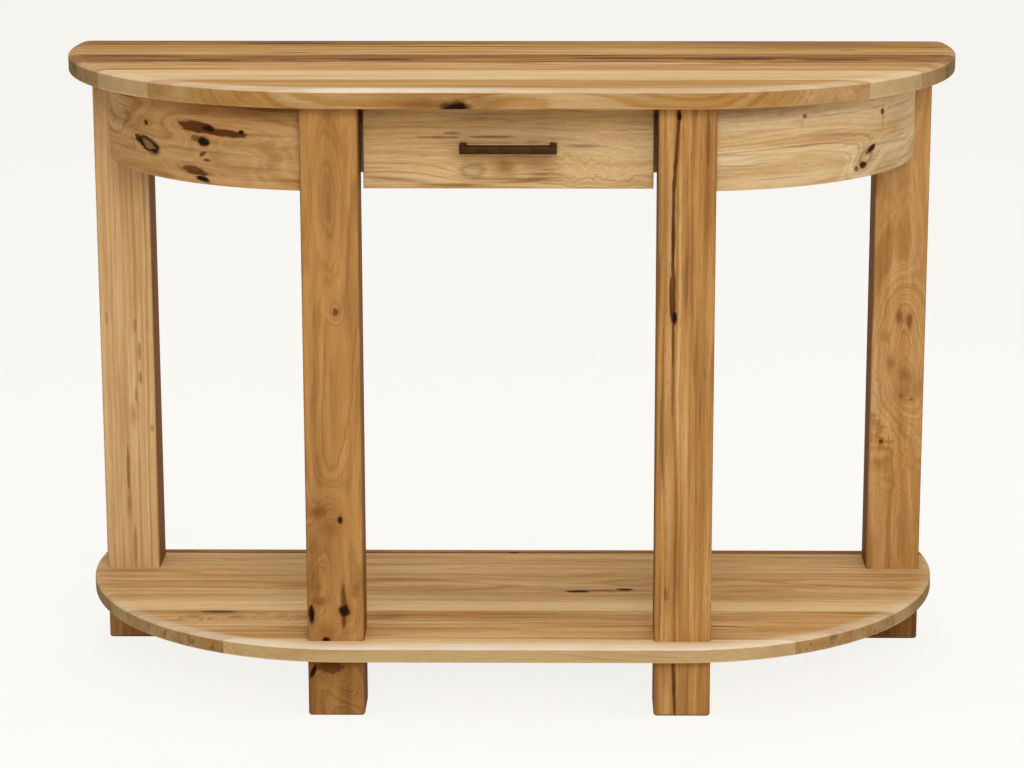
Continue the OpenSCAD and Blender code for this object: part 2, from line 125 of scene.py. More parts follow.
# The stain fades past the knot's edge. A distance of 1 is that edge here and below.
stain_fall = -0.6
square = add(g, "ShaderNodeMath", times, {0: distance, 1: distance})
halo_fade = add(g, "ShaderNodeMath", times, {0: square, 1: stain_fall})
halo_shape = add(g, "ShaderNodeMath", {"operation": "EXPONENT"}, {0: halo_fade})
halo_here = add(g, "ShaderNodeMath", times, {0: halo_shape, 1: given["Stain_and_shade"]})
halo = add(g, "ShaderNodeMath", {"operation": "MAXIMUM"}, {0: halo_here, 1: given["Halo"]})
inside = add(g, "ShaderNodeMapRange", smooth, {"Value": distance, "From Min": 1.1, "From Max": 0.8})
patch_here = add(g, "ShaderNodeMath", times, {0: inside, 1: given["Brown"]})
patch = add(g, "ShaderNodeMath", {"operation": "MAXIMUM"}, {0: patch_here, 1: given["Patch"]})
heart = add(g, "ShaderNodeMapRange", smooth, {"Value": distance, "From Min": 0.92, "From Max": 0.52})
filled = add(g, "ShaderNodeMath", times, {0: heart, 1: given["Black"]})
outline_place = 0.9
outline_width = 0.34
from_rim = add(g, "ShaderNodeMath", minus, {0: distance, 1: outline_place})
rim_share = add(g, "ShaderNodeMath", {"operation": "DIVIDE"}, {0: from_rim, 1: outline_width})
rim_square = add(g, "ShaderNodeMath", times, {0: rim_share, 1: rim_share})
rim_fade = add(g, "ShaderNodeMath", times, {0: rim_square, 1: -1.0})
rim_shape = add(g, "ShaderNodeMath", {"operation": "EXPONENT"}, {0: rim_fade})
rim = add(g, "ShaderNodeMath", times, {0: rim_shape, 1: given["Outline"]})
core_here = add(g, "ShaderNodeMath", {"operation": "MAXIMUM"}, {0: filled, 1: rim})
core = add(g, "ShaderNodeMath", {"operation": "MAXIMUM"}, {0: core_here, 1: given["Core"]})
add(g, "NodeGroupOutput", (), {"Push": push, "Burl": burl, "Halo": halo, "Patch": patch, "Core": core})

# Oak's own figure: rings round the tree's middle, bent by slow waves along the trunk, give arches on a flat
# sawn face, straight lines on its edges and arcs on end grain. Ring is their spacing and Wave how far the
# waves bend them, in mm. A Tone of 0 is the palest wood, 0.5 the usual one and 1 the darkest.
oak_group = bpy.data.node_groups.new("oak_grain", "ShaderNodeTree")
add_sockets(oak_group, "INPUT", "Vector", ("Place", "Tree"))
add_sockets(oak_group, "INPUT", "Float", ("Seed", "Ring", "Wave", "Tone", "Streaks", "End", *passed_on))
add_sockets(oak_group, "INPUT", "Color", ("Pale", "Mid", "Dark"))
add_sockets(oak_group, "OUTPUT", "Color", ("Color",))
add_sockets(oak_group, "OUTPUT", "Float", ("Roughness", "Height"))
g = oak_group
given = add(g, "NodeGroupInput").outputs
seed_step = (311.0, 173.0, 97.0)
seeded = add(g, "ShaderNodeVectorMath", {"operation": "SCALE"}, {0: seed_step, "Scale": given["Seed"]})
here = add(g, "ShaderNodeVectorMath", plus, {0: given["Place"], 1: seeded})
# Each noise has its size in mm, along the grain, across it and into the board. The first four bend the
# rings and the next three tint the wood. Pores are drawn about 1 mm wide, four times as coarse as real ones,
# so that they show.
noises = {}
for label, sizes, detail, rough in [
    ("slow", (330, 62, 62), 1.0, 0.5),
    ("middle", (95, 17, 17), 2.0, 0.5),
    ("fine", (26, 4.2, 4.2), 2.0, 0.5),
    ("curl", (9, 30, 30), 1.0, 0.5),
    ("tone", (300, 17, 30), 2.0, 0.5),
    ("streak", (190, 6.5, 14), 3.0, 0.6),
    ("fleck", (24, 2.6, 5), 1.0, 0.5),
    ("fibre", (34, 1.6, 1.6), 2.0, 0.6),
    ("pore", (9, 0.8, 0.8), 1.0, 0.5),
]:
    stretch = [1 / size for size in sizes]
    spot = add(g, "ShaderNodeVectorMath", times, {0: here, 1: stretch})
    noises[label] = add(
        g, "ShaderNodeTexNoise", (), {"Vector": spot, "Scale": 1.0, "Detail": detail, "Roughness": rough}
    )
from_pith = add(g, "ShaderNodeVectorMath", minus, {0: given["Place"], 1: given["Tree"]})
cross = add(g, "ShaderNodeVectorMath", times, {0: from_pith, 1: (0.0, 1.0, 1.0)})
field = add(g, "ShaderNodeVectorMath", {"operation": "LENGTH"}, {0: cross}).outputs["Value"]
field = add(g, "ShaderNodeMath", plus, {0: field, 1: given["Push"]})
# How far each noise moves a ring: the middle one as a share of Wave, the others in mm.
middle_share = 0.13
fine_mm = 1.1
burl_fine_mm = 7.0
burl_curl_mm = 27.0
slow = add(g, "ShaderNodeMath", minus, {0: noises["slow"], 1: 0.5})
field = add(g, "ShaderNodeMath", times_plus, {0: slow, 1: given["Wave"], 2: field})
ripple = add(g, "ShaderNodeMath", times, {0: given["Wave"], 1: middle_share})
field = add(g, "ShaderNodeMath", times_plus, {0: noises["middle"], 1: ripple, 2: field})
broken = add(g, "ShaderNodeMath", times_plus, {0: given["Burl"], 1: burl_fine_mm, 2: fine_mm})
field = add(g, "ShaderNodeMath", times_plus, {0: noises["fine"], 1: broken, 2: field})
curls = add(g, "ShaderNodeMath", times, {0: given["Burl"], 1: burl_curl_mm})
field = add(g, "ShaderNodeMath", times_plus, {0: noises["curl"], 1: curls, 2: field})
rings = add(g, "ShaderNodeMath", {"operation": "DIVIDE"}, {0: field, 1: given["Ring"]})
uneven = add(g, "ShaderNodeTexNoise", {"noise_dimensions": "1D"}, {"W": rings, "Scale": 0.55, "Detail": 1.0})
unevenness = 1.5
rings = add(g, "ShaderNodeMath", times_plus, {0: uneven, 1: unevenness, 2: rings})
# Late wood sets in over the middle of a ring and ends in its last third, more plainly in some rings.
ring_number = add(g, "ShaderNodeMath", {"operation": "FLOOR"}, {0: rings})
ring_share = add(g, "ShaderNodeMath", {"operation": "FRACT"}, {0: rings})
own = add(g, "ShaderNodeTexWhiteNoise", {"noise_dimensions": "1D"}, {"W": ring_number}).outputs["Value"]
rise = add(g, "ShaderNodeMapRange", smooth, {"Value": ring_share, "From Min": 0.25, "From Max": 0.75})
fall = add(g, "ShaderNodeMapRange", smooth, {"Value": ring_share, "From Min": 1.0, "From Max": 0.7})
late = add(g, "ShaderNodeMath", times, {0: rise, 1: fall})
strength = add(g, "ShaderNodeMath", times_plus, {0: own, 1: 0.8, 2: 0.2})
late = add(g, "ShaderNodeMath", times, {0: late, 1: strength})
lines = add(
    g, "ShaderNodeTexNoise", {"noise_dimensions": "1D"},
    {"W": rings, "Scale": 2.2, "Detail": 2.0, "Roughness": 0.6},
)
# Cut across, the rings nearly vanish in the pores, so their contrast falls where the surface faces along
# the grain. A burl's rings are plainer to see, in paler wood, and dark streaks pass it by.
ring_contrast = 0.22
line_contrast = 0.4
burl_contrast = 0.8
burl_shade = -0.2
cut_across = add(
    g, "ShaderNodeMapRange", smooth,
    {"Value": given["End"], "From Min": 0.01, "From Max": 0.25, "To Min": 1.0, "To Max": 0.3},
)
line_share = add(g, "ShaderNodeMath", minus, {0: lines, 1: 0.5})
line_share = add(g, "ShaderNodeMath", times, {0: line_share, 1: line_contrast})
line_share = add(g, "ShaderNodeMath", times_plus, {0: late, 1: ring_contrast, 2: line_share})
plainer = add(g, "ShaderNodeMath", times_plus, {0: given["Burl"], 1: burl_contrast, 2: 1.0})
line_share = add(g, "ShaderNodeMath", times, {0: line_share, 1: plainer})
shade = add(g, "ShaderNodeMath", times_plus, {0: line_share, 1: cut_across, 2: given["Tone"]})
clouds = add(g, "ShaderNodeMath", minus, {0: noises["tone"], 1: 0.5})
cloudy = add(g, "ShaderNodeMath", times_plus, {0: given["Streaks"], 1: 0.7, 2: 0.55})
shade = add(g, "ShaderNodeMath", times_plus, {0: clouds, 1: cloudy, 2: shade})
shade = add(g, "ShaderNodeMath", times_plus, {0: given["Burl"], 1: burl_shade, 2: shade})
to_mid = add(g, "ShaderNodeMapRange", (), {"Value": shade, "From Min": 0.0, "From Max": 0.5})
to_dark = add(g, "ShaderNodeMapRange", (), {"Value": shade, "From Min": 0.5, "From Max": 1.0})
colour = add(g, "ShaderNodeMix", {"data_type": "RGBA"}, {0: to_mid, 6: given["Pale"], 7: given["Mid"]})
colour = add(g, "ShaderNodeMix", {"data_type": "RGBA"}, {0: to_dark, 6: colour, 7: given["Dark"]})
streak = add(
    g, "ShaderNodeMapRange", smooth, {"Value": noises["streak"], "From Min": 0.53, "From Max": 0.7}
)
fleck = add(
    g, "ShaderNodeMapRange", smooth,
    {"Value": noises["fleck"], "From Min": 0.62, "From Max": 0.76, "To Min": 0.0, "To Max": 0.6},
)
raw_share = 0.6
raw_end = add(g, "ShaderNodeMath", times, {0: given["End"], 1: raw_share})
colour = add(g, "ShaderNodeMix", {"data_type": "RGBA"}, {0: raw_end, 6: colour, 7: srgb("#C2A880")})
marks = add(g, "ShaderNodeMath", {"operation": "MAXIMUM"}, {0: streak, 1: fleck})
marks = add(g, "ShaderNodeMath", times, {0: marks, 1: given["Streaks"]})
straight = add(
    g, "ShaderNodeMapRange", (),
    {"Value": given["Burl"], "From Min": 0.05, "From Max": 0.35, "To Min": 1.0, "To Max": 0.15},
)
marks = add(g, "ShaderNodeMath", times, {0: marks, 1: straight})
colour = add(g, "ShaderNodeMix", {"data_type": "RGBA"}, {0: marks, 6: colour, 7: srgb("#553417")})
# This stain colour marks real stains round knots, and also painted shade where a wide soft stain is laid on.
stain_and_shade_share = 0.75
stain_and_shade = add(g, "ShaderNodeMath", times, {0: given["Halo"], 1: stain_and_shade_share})
colour = add(g, "ShaderNodeMix", {"data_type": "RGBA"}, {0: stain_and_shade, 6: colour, 7: srgb("#7C4F26")})
patchy = add(
    g, "ShaderNodeMapRange", (),
    {"Value": noises["middle"], "From Min": 0.35, "From Max": 0.6, "To Min": 0.8, "To Max": 1.0},
)
patchy = add(g, "ShaderNodeMath", times, {0: patchy, 1: given["Patch"]})
colour = add(g, "ShaderNodeMix", {"data_type": "RGBA"}, {0: patchy, 6: colour, 7: srgb("#522C12")})
colour = add(g, "ShaderNodeMix", {"data_type": "RGBA"}, {0: given["Core"], 6: colour, 7: srgb("#24160C")})
fibre = add(
    g, "ShaderNodeMapRange", (),
    {"Value": noises["fibre"], "From Min": 0.3, "From Max": 0.7, "To Min": 0.89, "To Max": 1.08},
)
pore = add(g, "ShaderNodeMapRange", smooth, {"Value": noises["pore"], "From Min": 0.6, "From Max": 0.74})
end_square = add(g, "ShaderNodeMath", times, {0: given["End"], 1: given["End"]})
end_shade = -0.3
end_dark = add(g, "ShaderNodeMath", times_plus, {0: end_square, 1: end_shade, 2: 1.0})
light = add(g, "ShaderNodeMath", times, {0: fibre, 1: end_dark})
pore_shade = -0.16
light = add(g, "ShaderNodeMath", times_plus, {0: pore, 1: pore_shade, 2: light})
colour = add(g, "ShaderNodeVectorMath", {"operation": "SCALE"}, {0: colour, "Scale": light})
# The oil leaves a satin surface, a little rougher on end grain. Pores and cores lie lower than the fibres.
satin = 0.5
roughness = add(g, "ShaderNodeMath", times_plus, {0: noises["fibre"], 1: 0.16, 2: satin})
roughness = add(g, "ShaderNodeMath", times_plus, {0: given["End"], 1: 0.15, 2: roughness})
height = add(g, "ShaderNodeMath", times_plus, {0: late, 1: 0.35, 2: noises["fibre"]})
height = add(g, "ShaderNodeMath", times_plus, {0: pore, 1: -0.8, 2: height})
height = add(g, "ShaderNodeMath", times_plus, {0: given["Core"], 1: -1.2, 2: height})
add(g, "NodeGroupOutput", (), {"Color": colour, "Roughness": roughness, "Height": height})


def oak(
    name, order, face, tree, seed, tone, ring=6.0, wave=30.0, streaks=0.2, knots=(), staves=(), bend=None,
    colours=("#DDBB8C", "#B4854D", "#7A4F27"), rim_shade_tint="", edge=None,
):
    """Oak sealed with a satin oil, with places in mm. order names the axes along the grain, across it and
    through the board. face is where its show face lies and which way is in, and tree where the tree's middle
    lies, across the grain and behind the face. A stave is where it begins, its tone, seed and streaks, and
    bend the side, centre and radius of a bent board. The rim tint paints shade on the narrow faces. edge, for
    a painted highlight along the rolled edge, is the centre and radius of the round ends, and the middle and
    half length of the brightest part of that highlight."""
    material = bpy.data.materials.new(name)
    t = blank_tree(material)
    coordinates = add(t, "ShaderNodeTexCoord").outputs
    mm = add(t, "ShaderNodeVectorMath", {"operation": "SCALE"}, {0: coordinates["Object"], "Scale": 1000.0})
    normal = add(t, "ShaderNodeSeparateXYZ", (), {0: coordinates["Normal"]}).outputs
    axes = add(t, "ShaderNodeSeparateXYZ", (), {0: mm}).outputs
    if bend:
        # The grain follows the bend: along it is an arc round the bend's centre.
        side, centre_x, centre_y, bend_r = bend
        out_x = add(t, "ShaderNodeMath", minus, {0: axes[0], 1: centre_x})
        out_x = add(t, "ShaderNodeMath", times, {0: out_x, 1: float(side)})
        out_y = add(t, "ShaderNodeMath", minus, {0: centre_y, 1: axes[1]})
        angle = add(t, "ShaderNodeMath", {"operation": "ARCTAN2"}, {0: out_x, 1: out_y})
        along = add(t, "ShaderNodeMath", times, {0: angle, 1: bend_r})
        out = add(t, "ShaderNodeCombineXYZ", (), {0: out_x, 1: out_y})
        radius = add(t, "ShaderNodeVectorMath", {"operation": "LENGTH"}, {0: out}).outputs["Value"]
        depth = add(t, "ShaderNodeMath", minus, {0: bend_r, 1: radius})
        place = add(t, "ShaderNodeCombineXYZ", (), {0: along, 1: axes[2], 2: depth})
        end = 0.0
    else:
        along, across, through = ("xyz".index(axis) for axis in order)
        level, inward = face
        depth = add(t, "ShaderNodeMath", minus, {0: axes[through], 1: level})
        depth = add(t, "ShaderNodeMath", times, {0: depth, 1: float(inward)})
        place = add(t, "ShaderNodeCombineXYZ", (), {0: axes[along], 1: axes[across], 2: depth})
        end = add(t, "ShaderNodeMath", times, {0: normal[along], 1: normal[along]})
    joint = None
    if staves:
        count = None
        joint_half_width = 0.45
        for start, *_ in staves[1:]:
            past = add(t, "ShaderNodeMath", {"operation": "GREATER_THAN"}, {0: axes[1], 1: float(start)})
            near = add(
                t, "ShaderNodeMath", {"operation": "COMPARE"},
                {0: axes[1], 1: float(start), 2: joint_half_width},
            )
            if count is None:
                count, joint = past, near
            else:
                count = add(t, "ShaderNodeMath", plus, {0: count, 1: past})
                joint = add(t, "ShaderNodeMath", {"operation": "MAXIMUM"}, {0: joint, 1: near})
        # A table of colours holds each stave's tone, seed and streaks as red, green and blue.
        seed_spread = 20.0
        step = 1 / len(staves)
        share = add(t, "ShaderNodeMath", times_plus, {0: count, 1: step, 2: step / 2})
        table = add(t, "ShaderNodeValToRGB", (), {0: share})
        table.color_ramp.interpolation = "CONSTANT"
        stops = table.color_ramp.elements
        for i, (_, stave_tone, stave_seed, stave_streaks) in enumerate(staves):
            stop = stops[i] if i < 2 else stops.new(i * step)
            stop.position = i * step
            stop.color = (stave_tone, stave_seed, stave_streaks, 1.0)
        split = add(t, "ShaderNodeSeparateColor", (), {0: table.outputs["Color"]}).outputs
        tone = add(t, "ShaderNodeMath", plus, {0: split[0], 1: float(tone)})
        seed = add(t, "ShaderNodeMath", times_plus, {0: split[1], 1: seed_spread, 2: float(seed)})
        streaks = split[2]
    # A knot's edge is ragged, by a noise 14 mm long, 6 mm wide and 8 mm deep.
    spot = add(t, "ShaderNodeVectorMath", times, {0: place, 1: (1 / 14, 1 / 6, 1 / 8)})
    ragged = add(t, "ShaderNodeTexNoise", (), {"Vector": spot, "Scale": 1.0, "Detail": 1.5})
    raggedness = 0.8
    ragged = add(t, "ShaderNodeMath", times_plus, {0: ragged, 1: raggedness, 2: -raggedness / 2})
    knot_depth = 30.0
    so_far = dict.fromkeys(passed_on, 0.0)
    for knot in knots:
        made = add(
            t, "ShaderNodeGroup", {"node_tree": knot_group},
            {
                "Place": place, "Ragged": ragged, "Centre": (*knot["at"], 0.0)[:3],
                "Size": (*knot["size"], knot_depth)[:3], "Tilt": math.radians(knot.get("tilt", 0.0)),
                **{label: knot.get(label.lower(), 0.0) for label in knot_kinds}, **so_far,
            },
        ).outputs
        so_far = {label: made[label] for label in so_far}
    pale, mid, dark = colours
    grain = add(
        t, "ShaderNodeGroup", {"node_tree": oak_group},
        {
            "Place": place, "Tree": (0.0, *tree), "Seed": seed, "Ring": ring, "Wave": wave, "Tone": tone,
            "Streaks": streaks, "End": end, "Pale": srgb(pale), "Mid": srgb(mid), "Dark": srgb(dark),
            **so_far,
        },
    ).outputs
    colour = grain["Color"]
    if joint is not None:
        # The glued joints show as faint brown lines.
        joint_share = 0.28
        faint = add(t, "ShaderNodeMath", times, {0: joint, 1: joint_share})
        colour = add(t, "ShaderNodeMix", {"data_type": "RGBA"}, {0: faint, 6: colour, 7: srgb("#6E4724")})
    if rim_shade_tint:
        # Painted shade: the narrow faces are tinted darker than the show face, more the further they turn
        # from it.
        facing = add(t, "ShaderNodeMath", {"operation": "ABSOLUTE"}, {0: normal[through]})
        painted_shade_share = add(t, "ShaderNodeMath", minus, {0: 1.0, 1: facing})
        colour = add(
            t, "ShaderNodeMix", {"data_type": "RGBA", "blend_type": "MULTIPLY"},
            {0: painted_shade_share, 6: colour, 7: srgb(rim_shade_tint)},
        )
    if edge:
        # A painted highlight: where the rolled edge faces up and forward, the colour is mixed towards a near
        # white, standing in for the lamps' sheen on it. The highlight is broken up a little and brightest
        # about its given middle.
        centre_x, centre_y, edge_r, highlight_x, highlight_length = edge
        highlight_start = edge_r - 20.0
        highlight_full = edge_r - 9.0
        side_x = add(t, "ShaderNodeMath", {"operation": "ABSOLUTE"}, {0: axes[0]})
        side_x = add(t, "ShaderNodeMath", minus, {0: side_x, 1: centre_x})
        side_x = add(t, "ShaderNodeMath", {"operation": "MAXIMUM"}, {0: side_x, 1: 0.0})
        side_y = add(t, "ShaderNodeMath", minus, {0: centre_y, 1: axes[1]})
        reach = add(t, "ShaderNodeCombineXYZ", (), {0: side_x, 1: side_y})
        reach = add(t, "ShaderNodeVectorMath", {"operation": "LENGTH"}, {0: reach}).outputs["Value"]
        near = add(
            t, "ShaderNodeMapRange", smooth, {"Value": reach, "From Min": highlight_start, "From Max": highlight_full}
        )
        low = add(t, "ShaderNodeMapRange", smooth, {"Value": normal[2], "From Min": 0.12, "From Max": 0.4})
        forward = add(
            t, "ShaderNodeMapRange", smooth,
            {"Value": side_y, "From Min": 100.0, "From Max": highlight_start, "To Min": 0.15, "To Max": 1.0},
        )
        spot = add(t, "ShaderNodeVectorMath", times, {0: place, 1: (1 / 90, 1 / 30, 1 / 30)})
        highlight_breakup = add(t, "ShaderNodeTexNoise", (), {"Vector": spot, "Scale": 1.0, "Detail": 2.0})
        highlight_breakup = add(
            t, "ShaderNodeMapRange", (),
            {"Value": highlight_breakup, "From Min": 0.35, "From Max": 0.6, "To Min": 0.6, "To Max": 0.9},
        )
        from_highlight_middle = add(t, "ShaderNodeMath", minus, {0: axes[0], 1: highlight_x})
        from_highlight_middle = add(t, "ShaderNodeMath", {"operation": "DIVIDE"}, {0: from_highlight_middle, 1: highlight_length})
        from_highlight_middle = add(t, "ShaderNodeMath", times, {0: from_highlight_middle, 1: from_highlight_middle})
        from_highlight_middle = add(t, "ShaderNodeMath", times, {0: from_highlight_middle, 1: -1.0})
        highlight_spread = add(t, "ShaderNodeMath", {"operation": "EXPONENT"}, {0: from_highlight_middle})
        highlight_spread = add(t, "ShaderNodeMath", times_plus, {0: highlight_spread, 1: 0.6, 2: 0.4})
        painted_highlight = highlight_breakup
        for share in (near, low, forward, highlight_spread):
            painted_highlight = add(t, "ShaderNodeMath", times, {0: painted_highlight, 1: share})
        colour = add(t, "ShaderNodeMix", {"data_type": "RGBA"}, {0: painted_highlight, 6: colour, 7: srgb("#E4D6C0")})
    bump = add(t, "ShaderNodeBump", (), {"Strength": 0.3, "Distance": 0.0004, "Height": grain["Height"]})
    shader = add(
        t, "ShaderNodeBsdfPrincipled", (),
        {
            "Base Color": colour, "Roughness": grain["Roughness"], "Normal": bump, "IOR": 1.45,
            "Specular IOR Level": 0.02,
        },
    )
    add(t, "ShaderNodeOutputMaterial", (), {"Surface": shader})
    return material


# The round ends are arcs: their centres lie end_x right and left of the middle and end_y behind it.
end_x = 202.5
end_y = 147.5
end_r = 350.0
top_staves = (
    (-210, 0.4, 0.05, 0.12), (-125.5, 0.09, 0.21, 0.0), (-50.5, 0.37, 0.37, 0.3), (16.5, 0.74, 0.52, 1.0),
    (81.5, 0.38, 0.68, 0.45), (146.5, 0.6, 0.83, 0.9), (194, 0.9, 0.83, 1.0),
)
top_knots = (
    {"at": (-59, -202, 24), "size": (19, 14, 14), "black": 1.0, "brown": 0.6, "stain_and_shade": 0.9, "lift": 6},
    {"at": (-98, -202, 18), "size": (30, 12, 9), "stain_and_shade": 0.9},
    {"at": (-30, -202, 14), "size": (18, 12, 8), "stain_and_shade": 0.7},
    {"at": (-474, 66), "size": (56, 5), "stain_and_shade": 1.0, "brown": 0.9, "black": 0.35},
    {"at": (-373, 36), "size": (34, 5), "stain_and_shade": 1.0, "brown": 0.8, "black": 0.2},
    {"at": (-155, 36), "size": (52, 6), "stain_and_shade": 1.0, "brown": 0.9, "black": 0.3},
    {"at": (-190, 42), "size": (70, 11), "stain_and_shade": 0.9},
    {"at": (124, 51), "size": (54, 7), "stain_and_shade": 1.0, "brown": 0.9, "black": 0.45},
    {"at": (303, 45), "size": (26, 6), "black": 0.8, "brown": 0.9},
    {"at": (272, 46), "size": (66, 9), "stain_and_shade": 1.0, "brown": 0.9, "black": 0.4},
    {"at": (396, 39), "size": (50, 7), "stain_and_shade": 1.0, "brown": 0.9, "black": 0.45},
    {"at": (418, 121), "size": (11, 3), "stain_and_shade": 0.7, "brown": 0.6},
    {"at": (-281, 178), "size": (60, 7), "stain_and_shade": 1.0, "brown": 0.85, "black": 0.3},
    {"at": (-270, 99), "size": (18, 3), "stain_and_shade": 0.7, "brown": 0.4},
    {"at": (518, 146), "size": (14, 4), "stain_and_shade": 0.7, "brown": 0.3},
    {"at": (-546, 14, 8), "size": (8, 14, 12), "stain_and_shade": 1.0, "brown": 0.8},
    {"at": (-518, -22, 14), "size": (6, 4, 12), "stain_and_shade": 0.9, "brown": 0.4},
)
# The top's narrow faces carry painted shade, and its rolled edge carries a painted highlight.
top_oak = oak(
    "oak_flat_sawn_satin_oil_top", order="xyz", face=(770.0, -1), tree=(30.0, 85.0), seed=3.0, tone=0.0,
    ring=6.0, wave=40.0, knots=top_knots, staves=top_staves, colours=("#DEBE8E", "#B38344", "#724519"),
    rim_shade_tint="#E0DCD7", edge=(end_x, end_y, end_r, -150.0, 130.0),
)
dress(["top"], top_oak)


# Shelf: five wider oak staves, 20 mm thick, cut to the top's outline a little smaller. The legs stand on it
# and the feet are below it, drawn together by threaded studs through the shelf.
shelf_staves = (
    (-200, 0.0, 0.11, 0.0), (-158.5, 0.33, 0.29, 0.5), (-51.5, 0.0, 0.47, 0.0), (-13.5, 0.24, 0.63, 0.2),
    (185.5, 0.6, 0.79, 1.0),
)
shelf_knots = (
    {"at": (84, 27), "size": (17, 5), "black": 1.0, "brown": 1.0, "stain_and_shade": 0.9, "lift": 5},
    {"at": (143, 35), "size": (11, 4.4), "black": 1.0, "brown": 1.0, "stain_and_shade": 0.8, "lift": 4},
    {"at": (112, 31), "size": (90, 8), "stain_and_shade": 0.75},
    {"at": (110, 29), "size": (46, 2.2), "brown": 0.8},
    {"at": (0, 190), "size": (9, 3.4), "brown": 1.0, "black": 0.7},
    {"at": (215, 189), "size": (9, 4.4), "brown": 1.0, "black": 0.9},
    {"at": (-362, -57), "size": (22, 4.6), "brown": 0.7, "stain_and_shade": 1.0, "lift": 9},
    {"at": (-362, -62), "size": (30, 8), "stain_and_shade": 0.7},
    {"at": (-391, -75), "size": (9, 6), "stain_and_shade": 0.6, "lift": 10},
    {"at": (-337, -75), "size": (9, 6), "stain_and_shade": 0.6, "lift": 12},
    {"at": (-309, -66), "size": (6, 6), "stain_and_shade": 0.5, "lift": 10},
    {"at": (-281, -70), "size": (7, 7), "stain_and_shade": 0.4, "lift": 10},
    {"at": (-315, -76), "size": (46, 13), "ripple": 0.75},
    {"at": (-250, -74), "size": (14, 7), "stain_and_shade": 0.5, "lift": 10},
    {"at": (-150, -72), "size": (22, 12), "stain_and_shade": 0.7},
    {"at": (70, 60), "size": (230, 70), "stain_and_shade": 0.3},
    {"at": (-60, 22), "size": (120, 22), "stain_and_shade": 0.42},
    {"at": (60, -66), "size": (150, 6), "stain_and_shade": 0.5},
)
shelf_inset = 12.0
# The shelf's narrow faces carry painted shade, and its rolled edge carries a painted highlight.
shelf_oak = oak(
    "oak_flat_sawn_satin_oil_shelf", order="xyz", face=(95.0, -1), tree=(60.0, 90.0), seed=11.0, tone=0.0,
    ring=5.5, wave=34.0, knots=shelf_knots, staves=shelf_staves, colours=("#E6C492", "#BF8B4C", "#7A4D22"),
    rim_shade_tint="#CECBC4", edge=(end_x, end_y, end_r - shelf_inset, 0.0, 400.0),
)
dress(["shelf"], shelf_oak)
